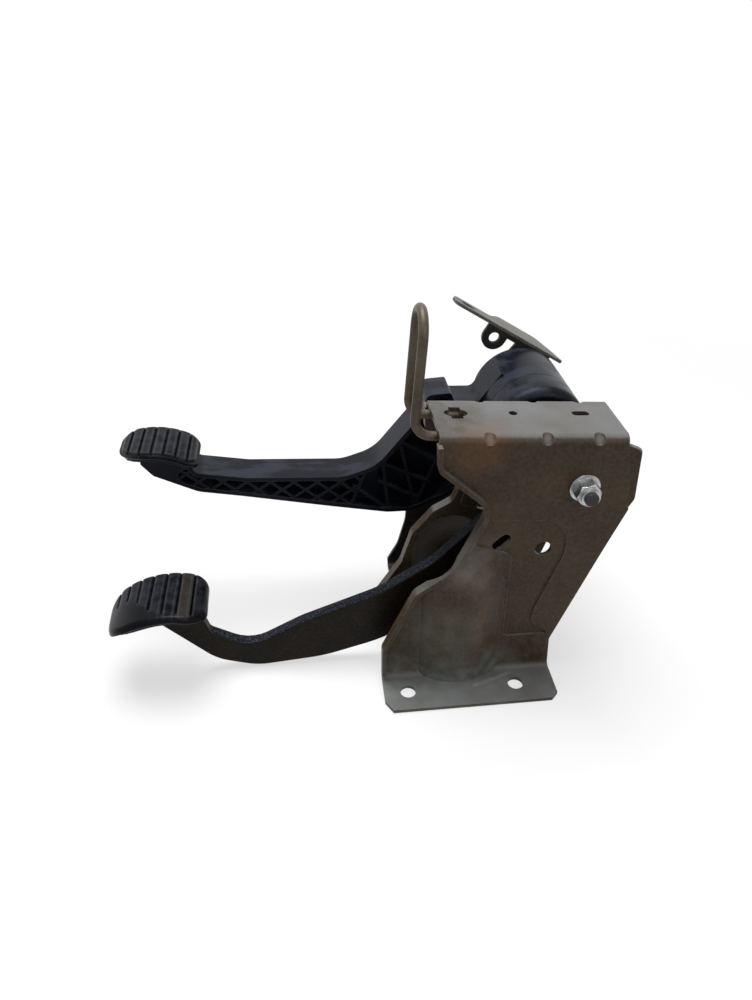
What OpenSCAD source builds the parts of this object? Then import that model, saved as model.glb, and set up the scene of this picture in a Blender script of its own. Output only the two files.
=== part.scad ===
// Pedal box of a small car: a stamped channel bracket that bolts to the firewall, a steel brake
// pedal, and a moulded clutch pedal with a ribbed arm that turns in its own sheet bracket.
// The firewall face is z = 0, and the origin is the centre of the four firewall holes. X runs up
// the car's firewall, Y from the brake pedal to the clutch pedal, and Z away from the firewall.

/* [Channel bracket] */
// Thickness of the stamped steel
sheet = 2.5; // [2:0.1:3.2]
// Outside width of the channel
channel_w = 46; // [42:1:50]
// Height of the channel's back above the firewall, at its pad end
back_h = 180; // [168:0.1:192]
// Length of the channel's back
back_len = 106; // [98:1:112]
// Fall of the channel's back along its length, in degrees
back_fall = 3.45; // [0:0.05:6]
// Start of the channel's back along X
back_x = -19.8; // [-24:0.1:-16]
// Outside radius of the bends between back and cheeks
bend_r = 5; // [3.6:0.1:7]
// Start of the foot along X
foot_x = -50.4; // [-56:0.1:-46]
// Length of the foot
foot_len = 110.4; // [102:0.1:118]
// Reach of each foot flange from its cheek
foot_reach = 29.5; // [26:0.5:33]
// Inside radius of the bend at the foot
foot_bend_r = 4; // [2:0.5:6]
// Reach of the turned lips on the cheeks' front edges
lip = 4; // [2:0.5:6]
// Depth of the pressed panel in the cheeks
panel_depth = 1.2; // [0.6:0.1:1.8]

/* [Foot bulges] */
// Radius of the upright bulge in each cheek
bulge_r = 37.4; // [34:0.1:42]
// How far the bulge stands out of its cheek
bulge_rise = 10.5; // [7:0.5:14]
// Place of the bulge along X
bulge_x = -0.5; // [-4:0.5:4]
// Height over which the bulge closes
bulge_close = 30; // [24:1:36]

/* [Firewall bolts] */
// Spacing of the bolt holes along X
bolt_span_x = 70; // [66:1:76]
// Spacing of the bolt holes along Y
bolt_span_y = 76; // [72:1:80]
// Diameter of the bolt holes
bolt_hole_d = 10; // [8:0.5:12]

/* [Holes in the back and cheeks] */
// Diameter of the round middle of the switch hole
switch_d = 10.4; // [9:0.2:12]
// Width of the switch hole across its notches
switch_w = 13.5; // [12:0.5:15]
// Place of the switch hole along the back
switch_u = 13.5; // [12:0.5:18]
// Place of the small round hole along the back
vent_u = 46.5; // [42:0.5:54]
// Diameter of the small round hole
vent_d = 5; // [3:0.5:7]
// Middle of the slot along the back
back_slot_u = 86; // [82:0.5:92]
// Length of the slot in the back
back_slot_len = 10.4; // [8:0.2:13]
// Width of the slot in the back
back_slot_w = 5; // [4:0.5:6]
// Distance of the back's holes from its middle, towards the clutch
back_hole_y = 4.5; // [2:0.5:8]
// Diameter of the round hole in the cheeks
cheek_hole_d = 10; // [7:0.5:12]
// Length of the slot in the cheeks
cheek_slot_len = 13; // [10:0.5:15]
// Width of the slot in the cheeks
cheek_slot_w = 6.5; // [5:0.5:8]

/* [Brake pivot] */
// Distance of the brake pivot beyond the foot's end along X
brake_out = 4.3; // [3:0.1:6]
// Depth of the brake pivot below the start of the channel's back
brake_drop = 37.3; // [36:0.1:40]
// Diameter of the pivot bolt
bolt_d = 8; // [7:0.1:9]
// Outside diameter of the spacer tube on the bolt
spacer_d = 12; // [11.4:0.1:13]
// Width across the flats of nut and bolt head
nut_af = 13; // [12:0.5:14]
// Outside diameter of the pedal's hub tube
hub_tube_d = 21; // [20:0.5:24]
// Wall of the pedal's hub tube
hub_tube_wall = 2.5; // [2:0.1:2.8]

/* [Brake pedal] */
// Distance from the brake pivot to the middle of its pad
brake_reach = 269.6; // [262:0.1:276]
// Thickness of the brake pedal's steel bar
bar_t = 8; // [6:0.5:10]
// Length of the brake pad
brake_pad_len = 64; // [58:1:70]
// Width of the brake pad
brake_pad_w = 44; // [42:1:52]
// Diameter of the hole for the pushrod's pin
clevis_d = 10; // [8:0.5:12]

/* [Clutch pivot] */
// Distance of the clutch pivot before the brake pivot along X
pivot_step_x = 11.8; // [11.6:0.1:13]
// Height of the clutch pivot above the brake pivot
pivot_step_z = 6.3; // [6:0.1:7.5]
// Diameter of the clutch pivot pin
pin_d = 10; // [9:0.1:11]
// Radius of the clutch pedal's drum
drum_r = 29.5; // [29:0.5:31]
// Start of the fixed drum cap along Y
cap_y = 28.2; // [28:0.1:31]
// Place of the seam between cap and drum along Y
seam_y = 50; // [46:0.5:54]
// End of the drum along Y
drum_end_y = 90; // [88.5:0.5:90.5]
// Near face of the clutch bracket's cheek along Y
clutch_cheek_y = 92; // [91.5:0.5:94]

/* [Clutch pedal] */
// Distance from the clutch pivot to the middle of its pad
clutch_reach = 242; // [234:1:248]
// Width of the clutch arm's flanges
arm_w = 24; // [20:1:26]
// Middle of the clutch arm along Y
arm_y = 74; // [72:0.5:75]
// Thickness of the clutch arm's flanges
flange_t = 3; // [2.4:0.1:3.6]
// Thickness of the clutch arm's middle web
rib_web_t = 2.6; // [2:0.1:3.4]
// Thickness of the clutch arm's crossed ribs
rib_t = 1.8; // [1.4:0.1:2.4]
// Distance between two crossings of the ribs
rib_pitch = 15.6; // [13:0.1:19]
// Length of the clutch pad
clutch_pad_len = 50.5; // [47:0.5:56]
// Width of the clutch pad
clutch_pad_w = 38; // [34:1:42]

/* [Pads] */
// Radius of the pads' curved faces
pad_r = 50; // [44:1:58]
// Thickness of the rubber
rubber_t = 5; // [4:0.5:7]
// Thickness of the plate under the rubber
pad_plate_t = 2.5; // [2:0.1:3.2]
// Depth of the grooves in the rubber
groove_depth = 1.8; // [1:0.1:2.6]
// Radius of the pads' corners at the pivots' side
pad_corner_r = 9; // [6:0.5:12]
// Radius of the pads' far corner at the free end
pad_end_r = 11; // [9:0.5:13]
// Radius of the worn corner at the free end
worn_corner_r = 18; // [14:0.5:20]
// Number of grooves in the brake pad
brake_grooves = 7; // [5:1:8]
// Number of grooves in the clutch pad
clutch_grooves = 6; // [4:1:7]

/* [Wire loop and cowl plate] */
// Diameter of the wire loop's rod
rod_d = 5.4; // [4.6:0.1:6]
// Distance between the loop's legs
loop_w = 25; // [22:0.5:27]
// Height of the loop's top above the channel's back
loop_h = 64; // [58:1:72]
// Distance from the back's end to the loop's legs
loop_out = 12.4; // [10:0.2:14]
// Radius of the loop's bend under the back
loop_bend_r = 10; // [8:0.5:11]
// Length of the loop's ends under the back
loop_tail = 22; // [16:1:26]
// Length of the cowl plate along its slope
cowl_len = 88; // [82:1:94]
// Width of the cowl plate
cowl_w = 22; // [20:1:25]
// Slope of the cowl plate in degrees
cowl_fall = 31; // [28:0.5:34]
// Thickness of the cowl plate
cowl_t = 2.2; // [1.8:0.1:2.8]
// Diameter of the lug's eye
eye_d = 7; // [5:0.5:8]

/* [Clutch bracket foot] */
// Distance from the start of the clutch bracket's foot to its pivot along X
clutch_foot_before = 85.5; // [82:0.5:88]
// Length of the clutch bracket's foot
clutch_foot_len = 93; // [88:1:98]
// Spacing of the two bolt holes in the clutch bracket's foot
clutch_bolt_span = 50; // [44:1:56]

/* [Hidden] */
// Cuts pass this far beyond what they cut
overrun = 1;
// Radial play between a shaft and what turns on it
running = 0.05;
// Gap between faces that move past each other
face_gap = 0.2;
// Steps of a rounded corner
corner_steps = 5;
steel = "#4A4136";
foot_y = channel_w / 2 + foot_reach;
brake_x = foot_x + foot_len + brake_out;
brake_z = back_h - brake_drop;
clutch_x = brake_x - pivot_step_x;
clutch_z = brake_z + pivot_step_z;
clutch_foot_x = clutch_x - clutch_foot_before;
// Height of the bulge's top as a share of the back's height
bulge_top_share = 0.544;
bulge_top = bulge_top_share * back_h;
bulge_h = bulge_top - bulge_close;
foot_bend_outer = foot_bend_r + sheet;

// Plain geometry

function unit(v) = v / norm(v);
// Left-hand normal of the line from a to b
function normal(a, b) = unit([a[1] - b[1], b[0] - a[0]]);
// Arc of radius r that rounds corner b between a and c
function arc_corner(a, b, c, r) =
    r <= 0 ? [b] :
    let (u = unit(a - b), v = unit(c - b), half = acos(u * v) / 2,
         mid = b + unit(u + v) * r / sin(half),
         p = b + u * r / tan(half) - mid, q = b + v * r / tan(half) - mid,
         start = atan2(p[1], p[0]), sweep = atan2(p[0] * q[1] - p[1] * q[0], p * q))
    [for (i = [0:corner_steps])
        let (a = start + sweep * i / corner_steps) mid + r * [cos(a), sin(a)]];
// Open path whose inner corners are rounded; each point is [x, y, radius]
function rounded_path(p) =
    let (n = len(p))
    [for (i = [0:n - 1]) each (i == 0 || i == n - 1) ? [[p[i][0], p[i][1]]]
        : arc_corner(flat(p[i - 1]), flat(p[i]), flat(p[i + 1]), p[i][2])];
// Closed outline whose corners are rounded; each point is [x, y, radius]
function rounded_loop(p) =
    let (n = len(p))
    [for (i = [0:n - 1])
        each arc_corner(flat(p[(i + n - 1) % n]), flat(p[i]), flat(p[(i + 1) % n]), p[i][2])];
function flat(p) = [p[0], p[1]];
// Open path moved sideways by t, to its left
function shifted(p, t) =
    let (n = len(p))
    [for (i = [0:n - 1])
        let (before = normal(p[max(i, 1) - 1], p[max(i, 1)]),
             after = normal(p[min(i, n - 2)], p[min(i, n - 2) + 1]),
             m = unit(before + after))
        p[i] + m * t / (m * before)];
function reversed(p) = [for (i = [len(p) - 1:-1:0]) p[i]];
// Closed corner list moved inwards by t, its radii kept
function inset_loop(p, t) =
    let (n = len(p))
    [for (i = [0:n - 1])
        let (before = normal(flat(p[(i + n - 1) % n]), flat(p[i])),
             after = normal(flat(p[i]), flat(p[(i + 1) % n])),
             m = unit(before + after), q = flat(p[i]) + m * t / (m * before))
        [q[0], q[1], p[i][2]]];
// Corner list given in shares of w and h from a start point, radii in shares of w
function scaled(shares, start, w, h) =
    [for (s = shares) [start[0] + s[0] * w, start[1] + s[1] * h, s[2] * w]];

// Stands an X-Z outline up, from y to y + t
module stand(y, t) {
    translate([0, y + t, 0]) rotate([90, 0, 0]) linear_extrude(t) children();
}
// A cylinder along Y from y to y + h, on the axis (x, z)
module rod_y(x, z, y, h, r) {
    translate([x, y + h, z]) rotate([90, 0, 0]) cylinder(r = r, h = h, $fn = 64);
}
// A tube along Y
module tube_y(x, z, y, h, r_out, r_in) {
    difference() {
        rod_y(x, z, y, h, r_out);
        rod_y(x, z, y - overrun, h + 2 * overrun, r_in);
    }
}
// A slot's outline along X, centred
module slot2d(len, w) {
    square([len - w, w], center = true);
    for (s = [-1, 1]) translate([s * (len - w) / 2, 0]) circle(d = w, $fn = 32);
}

// Channel bracket

// Points measured along and above the sloping back
function on_back(u, w) = [back_x + u * cos(back_fall) + w * sin(back_fall),
                          back_h - u * sin(back_fall) + w * cos(back_fall)];
module in_back() {
    translate([back_x, 0, back_h]) rotate([0, back_fall, 0]) children();
}

// Front edges of the cheeks from the foot up, in shares of the foot's length and the back's height
near_front_shares = [[0, 0.156, 0.088], [0.176, 0.406, 0.077], [0.386, 0.502, 0.272],
                     [0.545, 0.736, 0.097], [0.272, 0.888, 0.049]];
far_front_shares = [[0, 0.181, 0.088], [0.158, 0.336, 0.078], [0.219, 0.467, 0.097],
                    [0.338, 0.559, 0.058], [0.445, 0.597, 0.058], [0.533, 0.744, 0.097],
                    [0.272, 0.888, 0.049]];
// Rear edges of the cheeks from the top down
near_rear_shares = [[1.312, 0.926, 0.036], [1.33, 0.742, 0.078], [1.211, 0.537, 0.48], [0.99, 0.139, 0.049]];
far_rear_shares = [[1.223, 0.926, 0.036], [1.223, 0.742, 0.078], [1.109, 0.537, 0.48], [0.928, 0.17, 0.049]];
// Pressed panel, as shares of the same sizes
panel_shares = [[0.532, 0.681, 0.036], [0.907, 0.667, 0.091], [0.995, 0.599, 0.109], [0.991, 0.527, 0.091],
                [0.865, 0.283, 0.145], [0.862, 0.237, 0.054], [0.903, 0.202, 0.054], [0.959, 0.181, 0.009],
                [0.955, 0.169, 0.009], [0.707, 0.169, 0.036], [0.707, 0.539, 0.054], [0.487, 0.586, 0.027]];
// Centres of the cheeks' slot and round hole
cheek_slot_share = [0.639, 0.588];
cheek_hole_share = [0.873, 0.551];
// Centres of the stiffening darts along the back
near_dart_shares = [0.261, 0.564, 0.840];
far_dart_shares = [0.286, 0.584, 0.846];
dart_r = 4;
dart_depth = 1.8;
dart_len = 9;
back_leg = 12;
foot_chamfer_x = 4.5;
foot_chamfer_y = 8;

function cheek_point(s) = [foot_x + s[0] * foot_len, s[1] * back_h];
function front_path(shares) =
    rounded_path(concat([[foot_x, foot_bend_outer, 0]], scaled(shares, [foot_x, 0], foot_len, back_h),
                        [concat(on_back(-overrun, -bend_r), [0])]));
function rear_path(shares) =
    rounded_path(concat([concat(on_back(back_len, -bend_r), [0])],
                        scaled(shares, [foot_x, 0], foot_len, back_h),
                        [[foot_x + foot_len, foot_bend_outer, 0]]));

// Bulge solid: a cylinder closed by a rounded top, turned about the bulge's own axis
module bulge_solid(inset) {
    top_r = (pow(bulge_top - bulge_h, 2) + pow(bulge_rise, 2)) / (2 * bulge_rise);
    reach = bulge_r - bulge_rise;
    steps = 8;
    translate([bulge_x, -channel_w / 2 + reach, 0])
        rotate_extrude($fn = 96)
            polygon(concat([[0, inset > 0 ? -overrun : 0], [bulge_r - inset, inset > 0 ? -overrun : 0]],
                [for (i = [0:steps])
                    let (z = (bulge_top - bulge_h) * i / steps)
                    [bulge_r - top_r + sqrt(top_r * top_r - z * z) - inset, bulge_h + z - inset / 2]],
                [[0, bulge_top - inset / 2]]));
}
// The half-space outside a cheek's inner face
module outside_cheek() {
    translate([foot_x - back_len, -foot_y - back_h, -2 * overrun])
        cube([3 * back_len, foot_y + back_h - channel_w / 2 + sheet, back_h]);
}
// Foot: the bend at the cheek's bottom and the flange, with cut corners
module foot() {
    y0 = -channel_w / 2;
    intersection() {
        translate([foot_x, 0, 0]) rotate([90, 0, 90]) linear_extrude(foot_len) union() {
            intersection() {
                translate([y0 - foot_bend_r, foot_bend_outer]) difference() {
                    circle(r = foot_bend_outer, $fn = 48);
                    circle(r = foot_bend_r, $fn = 48);
                }
                translate([y0 - foot_bend_r, 0]) square([foot_bend_outer, foot_bend_outer]);
            }
            translate([-foot_y, 0]) square([foot_reach - foot_bend_r, sheet]);
        }
        linear_extrude(foot_bend_outer)
            polygon([[foot_x, 0], [foot_x, -foot_y + foot_chamfer_y],
                     [foot_x + foot_chamfer_x, -foot_y],
                     [foot_x + foot_len - foot_chamfer_x, -foot_y],
                     [foot_x + foot_len, -foot_y + foot_chamfer_x], [foot_x + foot_len, 0]]);
    }
}
// Hinge line of the strip that flares out along the near cheek's rear edge
flare_shares = [[1.243, 0.936], [1.297, 0.714]];
flare_angle = 26;
module at_hinge(turn) {
    a = cheek_point(flare_shares[0]);
    b = cheek_point(flare_shares[1]);
    slope = atan2(b[0] - a[0], a[1] - b[1]);
    place = [a[0], sheet - channel_w / 2, a[1]];
    translate(place) rotate([0, -slope, 0]) rotate([0, 0, -turn]) children();
}
module beyond_hinge() {
    at_hinge(0) translate([0, -back_h / 2, -back_h / 2]) cube(back_h);
}
module bent_at_hinge() {
    a = cheek_point(flare_shares[0]);
    b = cheek_point(flare_shares[1]);
    at_hinge(flare_angle) rotate([0, atan2(b[0] - a[0], a[1] - b[1]), 0])
        translate([-a[0], channel_w / 2 - sheet, -a[1]]) children();
}
// One cheek with its foot, lip, pressed panel and bulge; made on the near side
module cheek(front, rear, flared) {
    y0 = -channel_w / 2;
    front_edge = front_path(front);
    outline = concat(front_edge, rear_path(rear));
    panel = rounded_loop(scaled(panel_shares, [foot_x, 0], foot_len, back_h));
    difference() {
        union() {
            stand(y0, sheet) polygon(outline);
            stand(y0 - lip, lip + sheet)
                polygon(concat(front_edge, reversed(shifted(front_edge, -sheet))));
            stand(y0 + sheet, panel_depth) polygon(panel);
            foot();
        }
        stand(y0 - overrun, panel_depth + overrun) polygon(panel);
        intersection() {
            bulge_solid(sheet);
            outside_cheek();
        }
        cheek_holes();
        for (s = [-1, 1])
            translate([s * bolt_span_x / 2, -bolt_span_y / 2, -overrun])
                cylinder(d = bolt_hole_d, h = sheet + 2 * overrun, $fn = 48);
        if (flared) beyond_hinge();
    }
    if (flared) bent_at_hinge() intersection() {
        stand(y0, sheet) polygon(outline);
        beyond_hinge();
    }
    intersection() {
        difference() {
            bulge_solid(0);
            bulge_solid(sheet);
        }
        stand(-foot_y, foot_y + y0 + sheet)
            polygon(concat([[foot_x, 0]], outline, [[foot_x + foot_len, 0]]));
    }
}
module cheek_holes() {
    y0 = -channel_w / 2 - lip;
    h = lip + sheet + panel_depth + 2 * overrun;
    hole = cheek_point(cheek_hole_share);
    slot = cheek_point(cheek_slot_share);
    rod_y(brake_x, brake_z, y0, h, bolt_d / 2 + running);
    rod_y(hole[0], hole[1], y0, h, cheek_hole_d / 2);
    stand(y0, h) translate(slot) rotate(45) slot2d(cheek_slot_len, cheek_slot_w);
}
// Dart across a bend of the back, at u; s is -1 on the near side and 1 on the far side
module dart(u, s, r, len) {
    flank = bend_r * (1 - 1 / sqrt(2));
    in_back() translate([u, s * (channel_w / 2 - flank), -flank])
        rotate([-s * 45, 0, 0]) translate([0, 0, dart_r - dart_depth])
            rotate([90, 0, 0]) cylinder(r = r, h = len, center = true, $fn = 40);
}
// The channel's back with its two bends
module back() {
    difference() {
        union() {
            in_back() rotate([90, 0, 90]) linear_extrude(back_len) difference() {
                back2d(channel_w, bend_r, 0);
                back2d(channel_w - 2 * sheet, bend_r - sheet, sheet);
            }
            intersection() {
                union() {
                    for (u = near_dart_shares) dart(u * back_len, -1, dart_r + sheet, dart_len);
                    for (u = far_dart_shares) dart(u * back_len, 1, dart_r + sheet, dart_len);
                }
                in_back() rotate([90, 0, 90]) linear_extrude(back_len)
                    back2d(channel_w - 2 * sheet, bend_r - sheet, sheet);
            }
        }
        for (u = near_dart_shares) dart(u * back_len, -1, dart_r, 3 * dart_len);
        for (u = far_dart_shares) dart(u * back_len, 1, dart_r, 3 * dart_len);
        in_back() translate([0, back_hole_y, -sheet - overrun])
            linear_extrude(sheet + 2 * overrun) union() {
                translate([switch_u, 0]) {
                    circle(d = switch_d, $fn = 48);
                    slot2d(switch_w, switch_w / 2);
                    square([switch_w / 2, switch_w], center = true);
                }
                translate([vent_u, 0]) circle(d = vent_d, $fn = 32);
                translate([back_slot_u, 0]) slot2d(back_slot_len, back_slot_w);
            }
    }
}
// Cross-section of the back, measured down from its top by drop
module back2d(w, r, drop) {
    translate([-w / 2, -back_leg - (drop > 0 ? overrun : 0)])
        square([w, back_leg - drop - r + (drop > 0 ? overrun : 0)]);
    translate([r - w / 2, -drop - r]) square([w - 2 * r, r]);
    for (s = [-1, 1]) translate([s * (w / 2 - r), -drop - r]) circle(r = r, $fn = 48);
}
module main_bracket() {
    color(steel) {
        cheek(near_front_shares, near_rear_shares, true);
        difference() {
            mirror([0, 1, 0]) cheek(far_front_shares, far_rear_shares, false);
            rod_y(clutch_x, clutch_z, channel_w / 2 - sheet - overrun, sheet + 2 * overrun, pin_d / 2);
            rod_y(peg_at[0], peg_at[1], channel_w / 2 - sheet - overrun, sheet + 2 * overrun,
                  peg_r + running);
        }
        back();
    }
}

// Wire loop, welded under the back; measured along and above the back
module wire_loop() {
    leg_w = -sheet - rod_d / 2;
    r = loop_w / 2;
    color("#6E6152") in_back() {
        for (s = [-1, 1]) {
            translate([-loop_out + loop_bend_r, s * r, leg_w]) rotate([0, 90, 0])
                cylinder(d = rod_d, h = loop_out - loop_bend_r + loop_tail, $fn = 32);
            translate([-loop_out + loop_bend_r, s * r, leg_w + loop_bend_r]) rotate([90, 0, 0])
                rotate([0, 0, 180]) rotate_extrude(angle = 90, $fn = 64)
                    translate([loop_bend_r, 0]) circle(d = rod_d, $fn = 32);
            translate([-loop_out, s * r, leg_w + loop_bend_r])
                cylinder(d = rod_d, h = loop_h - r - rod_d / 2 - leg_w - loop_bend_r, $fn = 32);
        }
        translate([-loop_out, 0, loop_h - r - rod_d / 2]) rotate([90, 0, 90])
            rotate_extrude(angle = 180, $fn = 64) translate([r, 0]) circle(d = rod_d, $fn = 32);
    }
}

// Brake pivot

nut_flange_r = 8.8;
nut_flange_t = 1.5;
nut_h = 8;
nut_ring_r = 5.4;
nut_ring_h = 2.5;
// Turn of the nut's flats, and the widths of the cone that cuts its corners, in shares
nut_turn = 12;
nut_cone_shares = [1, 0.5];
bolt_tip = 2;
head_t = 4.6;
bush_flange_t = 1.6;
bush_len = 12;
module brake_pivot_bolt() {
    y0 = -channel_w / 2;
    away = atan2(clutch_z - brake_z, clutch_x - brake_x);
    color("#3A3733") {
        rod_y(brake_x, brake_z, y0 - nut_flange_t - nut_h - nut_ring_h - bolt_tip,
              channel_w + nut_flange_t + nut_h + nut_ring_h + bolt_tip, bolt_d / 2);
        stand(channel_w / 2, head_t) translate([brake_x, brake_z]) rotate(away - 30)
            circle(d = nut_af / cos(30), $fn = 6);
    }
}
module brake_pivot_nut() {
    y0 = -channel_w / 2;
    color("#C9C6BE") difference() {
        union() {
            rod_y(brake_x, brake_z, y0 - nut_flange_t, nut_flange_t, nut_flange_r);
            intersection() {
                stand(y0 - nut_flange_t - nut_h, nut_h) translate([brake_x, brake_z])
                    rotate(nut_turn) circle(d = nut_af / cos(30), $fn = 6);
                translate([brake_x, y0 - nut_flange_t, brake_z]) rotate([90, 0, 0])
                    cylinder(r1 = nut_af * nut_cone_shares[0], r2 = nut_af * nut_cone_shares[1],
                             h = nut_h, $fn = 64);
            }
            rod_y(brake_x, brake_z, y0 - nut_flange_t - nut_h - nut_ring_h, nut_h + nut_ring_h,
                  nut_ring_r);
        }
        rod_y(brake_x, brake_z, y0 - nut_flange_t - nut_h - nut_ring_h - overrun,
              nut_flange_t + nut_h + nut_ring_h + 2 * overrun, bolt_d / 2);
    }
}
module brake_spacer() {
    color("#8C8A84") tube_y(brake_x, brake_z, sheet - channel_w / 2, channel_w - 2 * sheet,
                            spacer_d / 2, bolt_d / 2 + running);
}
module brake_hub_tube() {
    end = channel_w / 2 - sheet - face_gap - bush_flange_t;
    color("#23262B") tube_y(brake_x, brake_z, -end, 2 * end, hub_tube_d / 2,
                            hub_tube_d / 2 - hub_tube_wall);
}
module brake_bushes() {
    end = channel_w / 2 - sheet - face_gap;
    color("#D8D4C8") for (s = [0, 1]) mirror([0, s, 0]) {
        tube_y(brake_x, brake_z, -end + bush_flange_t, bush_len,
               hub_tube_d / 2 - hub_tube_wall, spacer_d / 2 + running);
        tube_y(brake_x, brake_z, -end, bush_flange_t, hub_tube_d / 2, spacer_d / 2 + running);
    }
}

// Pads: a curved slab turned about Y, cut to a plan with round corners

// Pad frame: origin at the middle of the face, X along the pad, Z out of the face
module pad_frame(top, fall, y) {
    translate([top[0], y, top[1]]) rotate([0, fall, 0]) children();
}
module pad_plan(len, w, h) {
    translate([0, 0, -h]) linear_extrude(2 * h)
        polygon(rounded_loop([[-len / 2, -w / 2, worn_corner_r], [len / 2, -w / 2, pad_corner_r],
                              [len / 2, w / 2, pad_corner_r], [-len / 2, w / 2, pad_end_r]]));
}
// Curved slab between two depths below the face
module pad_slab(len, w, from, to) {
    intersection() {
        translate([0, w, -pad_r]) rotate([90, 0, 0]) difference() {
            cylinder(r = pad_r - from, h = 2 * w, $fn = 128);
            translate([0, 0, -overrun])
                cylinder(r = pad_r - to, h = 2 * w + 2 * overrun, $fn = 128);
        }
        pad_plan(len, w, pad_r);
    }
}
// All that lies above a curved face at the given depth, to trim an arm to its plate
module pad_over(len, w, depth) {
    difference() {
        translate([-len / 2, -w, -pad_r / 2]) cube([len, 2 * w, pad_r]);
        translate([0, w + overrun, -pad_r]) rotate([90, 0, 0])
            cylinder(r = pad_r - depth, h = 2 * (w + overrun), $fn = 128);
    }
}
groove_share = 0.16;
module pad_rubber(len, w, grooves) {
    arc = 2 * asin(len / 2 / pad_r);
    groove_r = len / (grooves + 1) * groove_share;
    difference() {
        pad_slab(len, w, 0, rubber_t);
        for (i = [1:grooves])
            translate([0, 0, -pad_r]) rotate([0, (i / (grooves + 1) - 1 / 2) * arc, 0])
                translate([0, w, pad_r - groove_depth + groove_r]) rotate([90, 0, 0]) union() {
                    cylinder(r = groove_r, h = 2 * w, $fn = 20);
                    translate([-groove_r, 0, 0]) cube([2 * groove_r, groove_depth, 2 * w]);
                }
    }
}

// Brake pedal

brake_at = [brake_x, brake_z];
// Fall of the brake pad's face and its middle, seen from the pivot
brake_pad_fall = -13;
brake_pad_share = [-0.9518, -0.2945];
brake_pad_top = brake_at + brake_pad_share * brake_reach;
// Outline of the bar from the hub round to the pad, in shares of the reach
bar_shares = [[-0.0519, 0.046, 0.03], [-0.1895, -0.1191, 0.1], [-0.2997, -0.2363, 0.1],
              [-0.4199, -0.3171, 0.3], [-0.6102, -0.3924, 0.2], [-0.7355, -0.4603, 0.08],
              [-0.8268, -0.4054, 0.02], [-0.8505, -0.3216, 0], [-0.9878, -0.3145, 0],
              [-0.8205, -0.4937, 0.12], [-0.7244, -0.5256, 0.14], [-0.5601, -0.51, 0.35],
              [-0.3999, -0.4614, 0.3], [-0.1996, -0.3034, 0.3], [0.0349, -0.0519, 0.03]];
boss_r = 17;
clevis_share = [-0.1585, -0.1692];
module brake_arm() {
    clevis = brake_at + clevis_share * brake_reach;
    color("#1D1C1D") difference() {
        union() {
            stand(-bar_t / 2, bar_t)
                polygon(rounded_loop(scaled(bar_shares, brake_at, brake_reach, brake_reach)));
            rod_y(brake_x, brake_z, -bar_t / 2, bar_t, boss_r);
        }
        rod_y(brake_x, brake_z, -bar_t / 2 - overrun, bar_t + 2 * overrun, hub_tube_d / 2);
        rod_y(clevis[0], clevis[1], -bar_t / 2 - overrun, bar_t + 2 * overrun, clevis_d / 2);
        pad_frame(brake_pad_top, brake_pad_fall, 0)
            pad_over(brake_pad_len, brake_pad_w, rubber_t + pad_plate_t);
    }
}
module brake_pad_plate() {
    color("#26262A") pad_frame(brake_pad_top, brake_pad_fall, 0)
        pad_slab(brake_pad_len - rubber_t, brake_pad_w - rubber_t, rubber_t, rubber_t + pad_plate_t);
}
module brake_pad() {
    color("#1B1C20") pad_frame(brake_pad_top, brake_pad_fall, 0)
        pad_rubber(brake_pad_len, brake_pad_w, brake_grooves);
}

// Clutch bracket: a cheek behind the drum, its foot, and a tongue lapped on the far foot flange

clutch_front_shares = [[0.08, 0.1155, 0.3], [0.138, 0.237, 0.3], [0.16, 0.4146, 0.3],
                       [0.4, 0.6516, 0.3], [0.64, 0.849, 0.2], [0.85, 0.9724, 0.02]];
clutch_rear_shares = [[1.13, 0.9181, 0.02], [1.215, 0.8194, 0.1], [1.19, 0.691, 0.3],
                      [1, 0.1974, 0.2]];
eye_r = 8.2;
// Centre of the eye from the clutch pivot
eye_off = [-17.1, 36.6];
eye_at = [clutch_x, clutch_z] + eye_off;
eye_root_share = 1.2;
tongue_w = 40;
tongue_x = -20;
function cowl_line(s) = [cowl_x + s * cos(cowl_fall), cowl_z - s * sin(cowl_fall)];
// Upper end of the cowl plate from the clutch pivot
cowl_off = [-43.7, 62.7];
cowl_x = clutch_x + cowl_off[0];
cowl_z = clutch_z + cowl_off[1];
// Stretch of the cowl plate that the cheek's neck carries
neck_start = 52;
neck_end = 78;
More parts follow.
